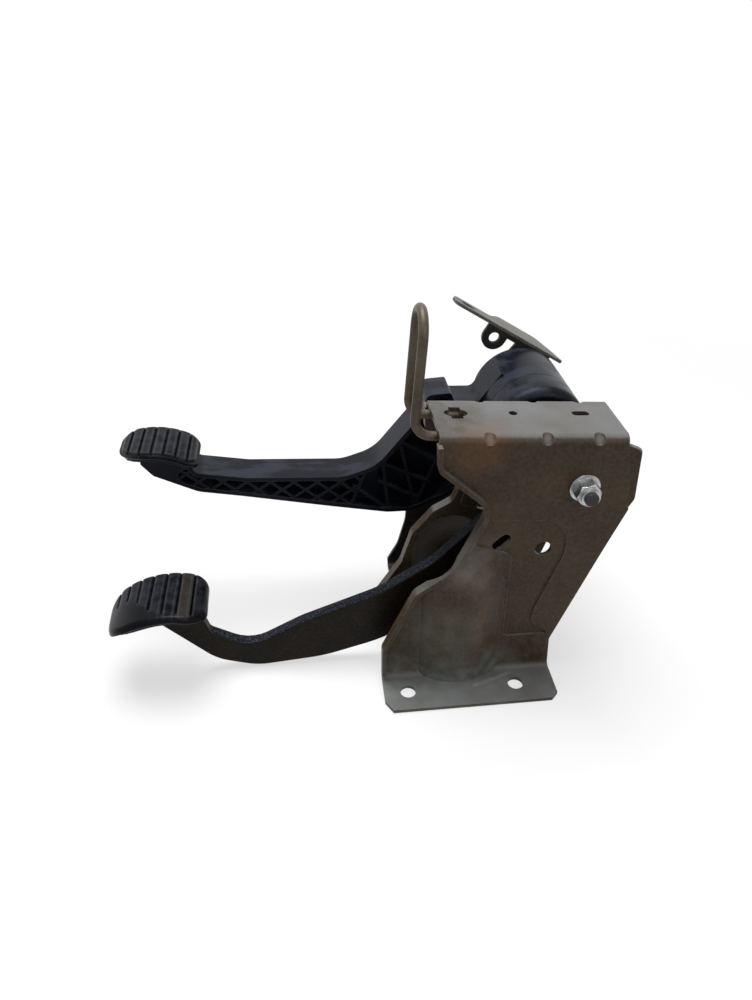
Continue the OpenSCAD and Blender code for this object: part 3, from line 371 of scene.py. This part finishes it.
def finish(name):
    """The material of that name, made once."""
    if name not in FINISHES:
        colours = bpy.context.scene.pedal_box_colours
        makers = {
            # Its faces that look up are painted paler grey, as light from above
            "dipped coat on pressed steel": lambda n: coated_steel(
                n, colours.coat, "33281B", "837E76", "553A24", painted_top_light=("5E5C58", "6D6E70"),
                marks=BRACKET_MARKS_AND_PAINTED_LIGHT),
            # The same coat, darkened as painted shade, for the bracket that stands in shadow
            "coat in painted shade on side bracket": lambda n: coated_steel(n, "2C2824", "1F1D1B", "5B5852", "3B2C20"),
            # Satin grey, pale along its cut edges
            "grey coat on top plate": lambda n: coated_steel(n, "5D5C58", "474642", "A5A49E", "5F5445"),
            # Brown-grey rod with some of the steel's own gloss
            "drawn steel rod": lambda n: coated_steel(n, "5F5648", "453C31", "8E8576", "5E4229", 0.3),
            "black electrocoat": electrocoated_bar,
            "glass-filled nylon": lambda n: glass_filled_nylon(n, colours.nylon),
            "moulded rubber": lambda n: worn_rubber(n, colours.rubber),
            # Bright and cool, dulled in patches
            "zinc plate": lambda n: plain_metal(n, colours.zinc, "7F7C76", 0.34),
            # Dark grey and nearly matt
            "phosphated steel": lambda n: plain_metal(n, "2C2A28", "1D1B1A", 0.5, metal=0.4),
            # Bare, fine and glossy
            "turned steel": lambda n: plain_metal(n, "A3A199", "7D7B75", 0.28),
            # Darker bare steel with an oiled look
            "spring steel": lambda n: plain_metal(n, "5E5B55", "413E3A", 0.36),
            # Ivory and waxy
            "natural nylon": lambda n: plain_metal(n, "CFCABB", "B4AE9E", 0.45, metal=0.0),
        }
        FINISHES[name] = makers[name](name)
    return FINISHES[name]


# Pieces from the frame


def carried(piece, node, body):
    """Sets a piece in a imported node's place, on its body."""
    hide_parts(node)
    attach(piece, body)
    return piece


def dressed(node, material):
    """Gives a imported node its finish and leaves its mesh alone, so its bends keep their exact normals."""
    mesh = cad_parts[node].data
    mesh.materials.clear()
    mesh.materials.append(material)


# Angle from which an edge counts as sharp, and the angle up to which two triangles make one flat
SHARP = math.radians(32)
FLAT = math.radians(0.6)
# Distance under which two points are one
WELD = 0.002 * MM


def placed(name, mesh):
    """An object of that name for the mesh, in the scene."""
    piece = bpy.data.objects.new(name, mesh)
    bpy.context.scene.collection.objects.link(piece)
    return piece


def merged_copy(node, name, body, material, edge, segments=2):
    """A piece with the node's own shape: triangles welded, flats joined and edges rounded by edge."""
    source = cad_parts[node]
    mesh = source.data.copy()
    mesh.name = name
    mesh.materials.clear()
    mesh.materials.append(material)
    build = bmesh.new()
    build.from_mesh(mesh)
    bmesh.ops.remove_doubles(build, verts=build.verts, dist=WELD)
    bmesh.ops.dissolve_limit(build, angle_limit=FLAT, verts=build.verts, edges=build.edges)
    build.to_mesh(mesh)
    build.free()
    mesh.shade_smooth()
    mesh.set_sharp_from_angle(angle=SHARP)
    piece = placed(name, mesh)
    bevel = piece.modifiers.new("broken edges", "BEVEL")
    bevel.width = edge
    bevel.segments = segments
    bevel.limit_method = "ANGLE"
    bevel.angle_limit = SHARP
    bevel.use_clamp_overlap = False
    bevel.harden_normals = True
    return carried(piece, node, body)


def smoothed(value, low, high):
    """The curve 3t^2 - 2t^3 of t = (value - low) / (high - low), held between 0 and 1."""
    t = np.clip((value - low) / (high - low), 0, 1)
    return t * t * (3 - 2 * t)


def round_drop(distance, radius):
    """Depth of a quarter round below its top: r - sqrt(r^2 - (r - d)^2) at d from its foot, 0 beyond r."""
    inside = np.clip(radius - distance, 0, radius)
    return radius - np.sqrt(radius ** 2 - inside ** 2)


# Tops of the two pads' faces, in their middle
BRAKE_PAD_TOP = (-192.3 * MM, 0, 63.3 * MM)
CLUTCH_PAD_TOP = (-184.3 * MM, 74 * MM, 133 * MM)
# The pads: the radius that they are bent to, and the grid's counts along and across
PAD_R = 50 * MM
PAD_COLUMNS, PAD_ROWS = 240, 72
# A groove: half of its flat floor, and the radius of its sides
GROOVE_FLOOR = 0.3 * MM
GROOVE_SIDE = 1.3 * MM
# How far a block falls from its middle to its grooves
BLOCK_CROWN = 0.5 * MM
# Least rubber over the plate, and how far the wall turns in below
LEAST_RUBBER = 0.8 * MM
WALL_TURN = 1.3 * MM
# How much thinner, and how much further turned in, the rubber is at its near free corner
CORNER_WEAR = 1.0 * MM
# Polish of the pads' sides, as the shader reads it
SIDE_POLISH = 0.6


def drawn_from_corner(x, y, by):
    """How far across a point moves at the worn near free corner: by at the corner, 0 past the middle."""
    return by * smoothed(-x, 0, 30 * MM) * smoothed(-y, -5 * MM, 22 * MM)


def pad_plan(length, width, corners):
    """A pad's plan as grids of x and y, and the distance of each point to the outline.

    x = L/2 sin(u), and y runs the same way between the outline's near and far sides, so that the rows crowd
    at the edges. A side is W/2 less the quarter rounds of its two corners.
    """
    near_free, near_pivot, far_pivot, far_free = corners
    x = length / 2 * np.sin(np.linspace(-np.pi / 2, np.pi / 2, PAD_COLUMNS))
    share = (np.sin(np.linspace(-np.pi / 2, np.pi / 2, PAD_ROWS)) + 1) / 2

    def side(free, pivot):
        """Half width of the outline at each x, on the side with these two corner radii."""
        return width / 2 - round_drop(x + length / 2, free) - round_drop(length / 2 - x, pivot)

    near, far = -side(near_free, near_pivot), side(far_free, far_pivot)
    grid_x = np.repeat(x[:, None], PAD_ROWS, axis=1)
    grid_y = near[:, None] + (far - near)[:, None] * share

    inside = np.minimum(length / 2 - np.abs(grid_x), width / 2 - np.abs(grid_y))
    for sx, sy, radius in ((-1, -1, near_free), (1, -1, near_pivot), (1, 1, far_pivot), (-1, 1, far_free)):
        along = sx * grid_x - (length / 2 - radius)
        across = sy * grid_y - (width / 2 - radius)
        corner = radius - np.hypot(along, across)
        inside = np.where((along > 0) & (across > 0), np.minimum(inside, corner), inside)
    return grid_x, grid_y, np.maximum(inside, 0)


def pad_shell(x, y, depth, floor, turn, length, width):
    """Points and quads of a closed pad whose face lies at depth and whose underside lies at floor.

    A point of the plan is bent to (x, y, sqrt((R - depth)^2 - x^2) - R). The wall turns in by turn on a
    quarter of an ellipse, in five rings. The face's points come first.
    """
    def bent(px, py, pd):
        return np.stack([px, py, np.sqrt((PAD_R - pd) ** 2 - px ** 2) - PAD_R], axis=-1).reshape(-1, 3)

    def drawn_in(px, py, by):
        """The plan drawn in evenly towards the pad's middle, by this much at its sides."""
        return px * (1 - 2 * by / length), py * (1 - 2 * by / width)

    index = np.arange(x.size).reshape(x.shape)
    loop = np.concatenate([index[:, 0], index[-1, 1:], index[-2::-1, -1], index[0, -2:0:-1]])
    rim_x, rim_y, rim_depth, rim_floor, rim_turn = (grid.ravel()[loop] for grid in (x, y, depth, floor, turn))
    points = [bent(x, y, depth)]
    rings = [loop]
    for number, angle in enumerate(np.radians((15, 30, 45, 60, 75))):
        px, py = drawn_in(rim_x, rim_y, rim_turn * (1 - math.cos(angle)))
        points.append(bent(px, py, rim_depth + (rim_floor - rim_depth) * math.sin(angle)))
        rings.append(x.size + number * len(loop) + np.arange(len(loop)))
    under = x.size + len(loop) * (len(rings) - 1)
    points.append(bent(*drawn_in(x, y, turn), floor))
    rings.append(under + loop)

    quads = np.stack([index[:-1, :-1], index[1:, :-1], index[1:, 1:], index[:-1, 1:]], axis=-1).reshape(-1, 4)
    faces = [quads]
    for above, below in zip(rings[:-1], rings[1:]):
        faces.append(np.stack([above, below, np.roll(below, -1), np.roll(above, -1)], axis=-1))
    faces.append(under + quads[:, ::-1])
    return np.concatenate(points), np.concatenate(faces)


def tread(name, top, fall, length, width, corners, grooves, shelf, edge, worn, dusty_block, material):
    """A pad's rubber, set at its top and turned by its fall about Y.

    corners are the outline's radii: near free, near pivot, far pivot and far free. edge is the radius of the
    face's rounded edge on the near and the far side. Blocks count from the free end, and -1 is none.
    The depth below the face is the largest of the edge's quarter round with the block's crown, the groove's
    round and, inside a shelf, the block's own round end. On a worn pad the grooves fade out towards the near
    free corner, along a line that runs down from the far free end.
    """
    sizes = bpy.context.scene.pedal_box_sizes
    thick, groove_depth = sizes.rubber_t, sizes.groove_depth
    grid_x, grid_y, inside = pad_plan(length, width, corners)

    pitch = 2 * PAD_R * math.asin(length / 2 / PAD_R) / (grooves + 1)
    place = PAD_R * np.arcsin(grid_x / PAD_R) / pitch + (grooves + 1) / 2
    beside = np.abs(place - np.clip(np.round(place), 1, grooves)) * pitch
    fade = 1.0
    if worn:
        # The worn zone takes 0.64 of the width at the free end, and 0.1 of it past the middle
        line = -width / 2 + width * (0.64 - 0.54 * smoothed(grid_x, -20 * MM, 10 * MM))
        fade = smoothed(grid_y, line - 2 * MM, line + 2.5 * MM)
    groove = round_drop(np.maximum(beside - GROOVE_FLOOR, 0), GROOVE_SIDE) / GROOVE_SIDE
    soft = edge[0] + (edge[1] - edge[0]) * smoothed(grid_y, -width / 4, width / 4)
    crown = BLOCK_CROWN * np.clip(1 - beside / (pitch / 2), 0, 1) ** 3 * fade
    depth = np.maximum(groove_depth * groove * fade, round_drop(inside, soft) + crown)
    if shelf:
        ends = round_drop(np.maximum(inside - shelf, 0), GROOVE_SIDE) / GROOVE_SIDE
        depth = np.maximum(depth, groove_depth * ends)
    depth = np.minimum(depth, thick - LEAST_RUBBER)

    # Share of the wear at each point of the plan, 1 at the near free corner
    bare = smoothed(-grid_x, 2 * MM, 26 * MM) * smoothed(-grid_y, -6 * MM, 12 * MM)
    points, faces = pad_shell(grid_x, grid_y, depth, thick - CORNER_WEAR * bare,
                              WALL_TURN + CORNER_WEAR * bare, length, width)
    if worn:
        points[:, 1] += drawn_from_corner(points[:, 0], points[:, 1], 3 * MM)
    sine, cosine = math.sin(fall), math.cos(fall)
    turn = np.array(((cosine, 0, sine), (0, 1, 0), (-sine, 0, cosine)))
    mesh = bpy.data.meshes.new(name)
    mesh.from_pydata((points @ turn.T + np.array(top)).tolist(), [], faces.tolist())
    mesh.update()
    mesh.materials.append(material)
    mesh.shade_smooth()

    # A rim is a soft pale line about 0.8 mm wide beside each groove, and another inside the shelf
    rim = np.exp(-((beside - 1.8 * MM) / (0.5 * MM)) ** 2) * (depth < 0.5 * MM)
    if shelf:
        rim = np.maximum(rim, np.exp(-((inside - shelf - 1.0 * MM) / (0.5 * MM)) ** 2))
    wear = {
        "polish": np.maximum((1 - fade) * smoothed(grid_x, 16 * MM, -4 * MM),
                             SIDE_POLISH * smoothed(inside, 2.5 * MM, 0.0)),
        "rim": rim,
        "dusty": (np.floor(place) == dusty_block) * (depth < 0.9 * MM),
        "groove_dark": smoothed(depth, 0.5 * MM, 1.1 * MM) * (beside < 1.1 * MM)
        * smoothed(inside, 0.2 * MM, 1.0 * MM),
    }
    for key, values in wear.items():
        full = np.full(len(points), SIDE_POLISH if key == "polish" else 0.0)
        full[:values.size] = values.ravel()
        mesh.attributes.new(key, "FLOAT", "POINT").data.foreach_set("value", full)
    return placed(name, mesh)


# Points on the arc of a rounded corner
ARC_POINTS = 9


def turned(name, centre, corners, material, segments=160):
    """A piece turned about the line along Y through centre (x, z).

    The profile is a closed chain of square corners (radius, y, rounding): a corner with a rounding becomes
    an arc that touches both its sides. The point at profile place p and angle a is
    (x + r(p) sin a, y(p), z + r(p) cos a).
    """
    profile = []
    for i, (radius, y, rounding) in enumerate(corners):
        here = np.array((radius, y))
        before = np.array(corners[i - 1][:2]) - here
        after = np.array(corners[(i + 1) % len(corners)][:2]) - here
        before, after = before / np.linalg.norm(before), after / np.linalg.norm(after)
        middle = here + rounding * (before + after)
        for angle in np.linspace(0, np.pi / 2, ARC_POINTS if rounding else 1):
            profile.append(middle - rounding * (after * math.cos(angle) + before * math.sin(angle))
                           if rounding else here)
    profile = np.array(profile)
    angle = np.arange(segments) * 2 * np.pi / segments
    points = np.stack([centre[0] + profile[:, :1] * np.sin(angle), profile[:, 1:] + 0 * angle,
                       centre[1] + profile[:, :1] * np.cos(angle)], axis=-1)
    index = np.arange(len(profile) * segments).reshape(len(profile), segments)
    under, beside = np.roll(index, -1, axis=0), np.roll(index, -1, axis=1)
    faces = np.stack([index, beside, np.roll(under, -1, axis=1), under], axis=-1)
    mesh = bpy.data.meshes.new(name)
    mesh.from_pydata(points.reshape(-1, 3).tolist(), [], faces.reshape(-1, 4).tolist())
    build = bmesh.new()
    build.from_mesh(mesh)
    bmesh.ops.recalc_face_normals(build, faces=build.faces)
    build.to_mesh(mesh)
    build.free()
    mesh.materials.append(material)
    mesh.shade_smooth()
    mesh.set_sharp_from_angle(angle=SHARP)
    return placed(name, mesh)


# The drum cap, turned about the clutch pivot: the pivot's x and z, and the profile from the bore outwards
CLUTCH_PIVOT = (52.5 * MM, 149 * MM)
CAP_BORE_R, CAP_BOSS_R, CAP_INNER_R, CAP_R = 5.05 * MM, 9 * MM, 27 * MM, 29.5 * MM
CAP_NEAR_Y, CAP_FLOOR_Y, CAP_SEAM_Y = 28.2 * MM, 30.7 * MM, 49.8 * MM
BROKEN = 0.4 * MM
CAP_PROFILE = (
    (CAP_BORE_R, CAP_NEAR_Y, 0.0), (CAP_R, CAP_NEAR_Y, 6 * MM), (CAP_R, CAP_SEAM_Y, BROKEN),
    (CAP_INNER_R, CAP_SEAM_Y, BROKEN), (CAP_INNER_R, CAP_FLOOR_Y, 3 * MM), (CAP_BOSS_R, CAP_FLOOR_Y, 0.0),
    (CAP_BOSS_R, CAP_SEAM_Y, BROKEN), (CAP_BORE_R, CAP_SEAM_Y, 0.0),
)
# Its peg into the far cheek, with the least radius that keeps the turned ends closed to the eye
PEG_AT = (35.5 * MM, 157 * MM)
PEG_R, PEG_CORE_R = 3.4 * MM, 0.2 * MM
PEG_FOOT_Y, PEG_END_Y = 20.5 * MM, 29 * MM
PEG_PROFILE = (
    (PEG_CORE_R, PEG_FOOT_Y, 0.0), (PEG_R, PEG_FOOT_Y, BROKEN), (PEG_R, PEG_END_Y, 0.0),
    (PEG_CORE_R, PEG_END_Y, 0.0),
)


class PEDALBOX_OT_bracket(bpy.types.Operator):
    """Dresses the channel bracket and its wire loop"""

    bl_idname = "pedalbox.bracket"
    bl_label = "Channel bracket"

    def execute(self, context):
        dressed("main_bracket", finish("dipped coat on pressed steel"))
        dressed("wire_loop", finish("drawn steel rod"))
        return {"FINISHED"}


class PEDALBOX_OT_brake_pivot(bpy.types.Operator):
    """Dresses the brake pivot: bolt, nut, spacer, hub tube and bushes"""

    bl_idname = "pedalbox.brake_pivot"
    bl_label = "Brake pivot"

    def execute(self, context):
        merged_copy("brake_pivot_bolt", "pivot_bolt", "bracket", finish("phosphated steel"),
                    0.4 * MM)
        dressed("brake_pivot_nut", finish("zinc plate"))
        dressed("brake_spacer", finish("turned steel"))
        dressed("brake_hub_tube", finish("black electrocoat"))
        merged_copy("brake_bushes", "hub_bushes", "brake_pedal", finish("natural nylon"),
                    0.2 * MM)
        return {"FINISHED"}


class PEDALBOX_OT_brake_pedal(bpy.types.Operator):
    """Dresses the brake bar, the plate on its end and the rubber on the plate"""

    bl_idname = "pedalbox.brake_pedal"
    bl_label = "Brake pedal"

    def execute(self, context):
        merged_copy("brake_arm", "brake_bar", "brake_pedal", finish("black electrocoat"),
                    context.scene.pedal_box_sizes.bar_edge, 3)
        plate = merged_copy("brake_pad_plate", "pad_plate", "brake_pedal",
                            finish("black electrocoat"), 0.3 * MM)
        # The plate stays under the worn corner of its rubber
        points = np.empty(3 * len(plate.data.vertices), np.float32)
        plate.data.vertices.foreach_get("co", points)
        points = points.reshape(-1, 3)
        points[:, 1] += drawn_from_corner(points[:, 0] - BRAKE_PAD_TOP[0], points[:, 1], 6 * MM)
        plate.data.vertices.foreach_set("co", points.ravel())
        rubber = tread("brake_tread", BRAKE_PAD_TOP, fall=math.radians(-13), length=64 * MM, width=44 * MM,
                       corners=(18 * MM, 13 * MM, 9 * MM, 11 * MM), grooves=7, shelf=0.0,
                       edge=(3.2 * MM, 1.5 * MM), worn=True, dusty_block=6, material=finish("moulded rubber"))
        carried(rubber, "brake_pad", "brake_pedal")
        return {"FINISHED"}


class PEDALBOX_OT_clutch_bracket(bpy.types.Operator):
    """Dresses the clutch pedal's own bracket and the sloping plate on it"""

    bl_idname = "pedalbox.clutch_bracket"
    bl_label = "Clutch bracket"

    def execute(self, context):
        dressed("clutch_bracket", finish("coat in painted shade on side bracket"))
        merged_copy("cowl_plate", "top_plate", "bracket", finish("grey coat on top plate"),
                    context.scene.pedal_box_sizes.sheet_edge)
        return {"FINISHED"}


class PEDALBOX_OT_clutch_pivot(bpy.types.Operator):
    """Dresses the clutch pivot: pin, clip, washer, drum cap, spring and sleeve"""

    bl_idname = "pedalbox.clutch_pivot"
    bl_label = "Clutch pivot"

    def execute(self, context):
        merged_copy("clutch_pivot_pin", "pivot_pin", "bracket", finish("turned steel"),
                    0.3 * MM)
        merged_copy("pin_clip", "retaining_clip", "bracket", finish("phosphated steel"),
                    0.2 * MM)
        dressed("thrust_washer", finish("natural nylon"))
        nylon = finish("glass-filled nylon")
        cap = turned("spring_cap", CLUTCH_PIVOT, CAP_PROFILE, nylon)
        carried(cap, "drum_cap", "bracket")
        peg = turned("cap_peg", PEG_AT, PEG_PROFILE, nylon, 32)
        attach(peg, "bracket")
        dressed("return_spring", finish("spring steel"))
        dressed("hub_sleeve", finish("turned steel"))
        return {"FINISHED"}


class PEDALBOX_OT_clutch_pedal(bpy.types.Operator):
    """Dresses the moulded clutch arm with its drum, and its rubber"""

    bl_idname = "pedalbox.clutch_pedal"
    bl_label = "Clutch pedal"

    def execute(self, context):
        dressed("clutch_arm", finish("glass-filled nylon"))
        rubber = tread("clutch_tread", CLUTCH_PAD_TOP, fall=math.radians(8), length=50.5 * MM, width=38 * MM,
                       corners=(18 * MM, 9 * MM, 9 * MM, 11 * MM), grooves=6, shelf=1.6 * MM,
                       edge=(1.6 * MM, 1.2 * MM), worn=False, dusty_block=-1,
                       material=finish("moulded rubber"))
        carried(rubber, "clutch_pad", "clutch_pedal")
        return {"FINISHED"}


# Stage


def lamp(name, place, aim, size, power):
    """A square area light at a place, turned to a point."""
    data = bpy.data.lights.new(name, "AREA")
    data.size, data.energy = size, power
    light = bpy.data.objects.new(name, data)
    turn = Vector([a - p for a, p in zip(aim, place)]).to_track_quat("-Z", "Y").to_matrix().to_4x4()
    light.matrix_world = Matrix.Translation(place) @ turn
    bpy.context.scene.collection.objects.link(light)


def seen_by_eye(tree):
    """A mask that is 1 for what the camera sees, also in a mirror or through glass."""
    path = add(tree, "ShaderNodeLightPath").outputs
    eye = add(tree, "ShaderNodeMath", {0: path["Is Camera Ray"], 1: path["Is Glossy Ray"]}, operation="ADD")
    return add(tree, "ShaderNodeMath", {0: eye.outputs[0], 1: path["Is Transmission Ray"]}, operation="ADD",
               use_clamp=True).outputs[0]


def paper_floor():
    """White paper that keeps a faint shadow near the part and is plain white further off."""
    paper, tree, point = blank("white paper")
    eye = seen_by_eye(tree)
    far = add(tree, "ShaderNodeVectorMath", {0: point}, operation="LENGTH").outputs["Value"]
    white = levelled(tree, ramped(tree, far, 0.3, 0.75), 0.6, 1.0)
    matt = add(tree, "ShaderNodeBsdfDiffuse", {"Color": blended(tree, eye, rgba("B0B0B0"), rgba("F4F4F4"))})
    glow = add(tree, "ShaderNodeEmission", {"Color": rgba("FFFFFF"), "Strength": 1.0})
    mixed = add(tree, "ShaderNodeMixShader",
                {0: both(tree, white, eye), 1: matt.outputs[0], 2: glow.outputs[0]})
    add(tree, "ShaderNodeOutputMaterial", {"Surface": mixed.outputs[0]})
    return paper


class PEDALBOX_OT_stage(bpy.types.Operator):
    """Sets the floor, the lamps and the camera"""

    bl_idname = "pedalbox.stage"
    bl_label = "Stage"

    def execute(self, context):
        # A floor of 8 m, just under the firewall face so that the two don't share a plane
        floor_mesh = bpy.data.meshes.new("studio_floor")
        half = 4.0
        floor_mesh.from_pydata([(-half, -half, 0), (half, -half, 0), (half, half, 0), (-half, half, 0)],
                               [], [(0, 1, 2, 3)])
        floor = bpy.data.objects.new("studio_floor", floor_mesh)
        floor.location.z = -0.2 * MM
        context.scene.collection.objects.link(floor)
        floor_mesh.materials.append(paper_floor())

        world = bpy.data.worlds.new("studio air")
        context.scene.world = world
        world.use_nodes = True
        tree = world.node_tree
        tree.nodes.clear()
        air = add(tree, "ShaderNodeBackground", {"Color": rgba("FFFFFF"),
                                                 "Strength": levelled(tree, seen_by_eye(tree), 0.24, 1.0)})
        add(tree, "ShaderNodeOutputWorld", {"Surface": air.outputs[0]})

        centre = (-0.03, 0.02, 0.1)
        lamp("overhead softbox", (-0.15, 0.25, 1.35), centre, 0.8, 20)
        lamp("front fill", (0.5, -1.3, 0.8), centre, 0.8, 5)

        # The photograph's camera: a focal length of 780 pixels on a frame 1000 pixels high
        camera = bpy.data.objects.new("camera", bpy.data.cameras.new("camera"))
        camera.data.sensor_width = 36
        camera.data.lens = 780 / 1000 * 36
        camera.data.clip_start, camera.data.clip_end = 0.01, 20
        camera.location = (-0.0912, -0.3760, 0.3862)
        camera.rotation_euler = (math.radians(90 - 34.5), 0, math.radians(-6))
        context.scene.collection.objects.link(camera)
        context.scene.camera = camera
        context.scene.view_settings.view_transform = "Standard"
        return {"FINISHED"}


class PEDALBOX_PT_panel(bpy.types.Panel):
    """Lists the pieces of the pedal box and their sizes"""

    bl_idname = "PEDALBOX_PT_panel"
    bl_label = "Pedal Box"
    bl_space_type = "VIEW_3D"
    bl_region_type = "UI"
    bl_category = "Pedal Box"

    def draw(self, context):
        for group in (context.scene.pedal_box_sizes, context.scene.pedal_box_colours):
            for name in group.__annotations__:
                self.layout.prop(group, name)
        for operator in OPERATORS:
            self.layout.operator(operator.bl_idname)


OPERATORS = (
    PEDALBOX_OT_bracket, PEDALBOX_OT_brake_pivot, PEDALBOX_OT_brake_pedal, PEDALBOX_OT_clutch_bracket,
    PEDALBOX_OT_clutch_pivot, PEDALBOX_OT_clutch_pedal, PEDALBOX_OT_stage,
)
CLASSES = (PedalBoxSizes, PedalBoxColours, *OPERATORS, PEDALBOX_PT_panel)


def register():
    for cls in CLASSES:
        bpy.utils.register_class(cls)
    bpy.types.Scene.pedal_box_sizes = bpy.props.PointerProperty(type=PedalBoxSizes)
    bpy.types.Scene.pedal_box_colours = bpy.props.PointerProperty(type=PedalBoxColours)


def unregister():
    del bpy.types.Scene.pedal_box_colours
    del bpy.types.Scene.pedal_box_sizes
    for cls in reversed(CLASSES):
        bpy.utils.unregister_class(cls)


def main():
    register()
    for operator in OPERATORS:
        space, name = operator.bl_idname.split(".")
        if getattr(getattr(bpy.ops, space), name)() != {"FINISHED"}:
            raise RuntimeError(f"{operator.bl_label} did not finish")


if __name__ == "__main__":
    main()
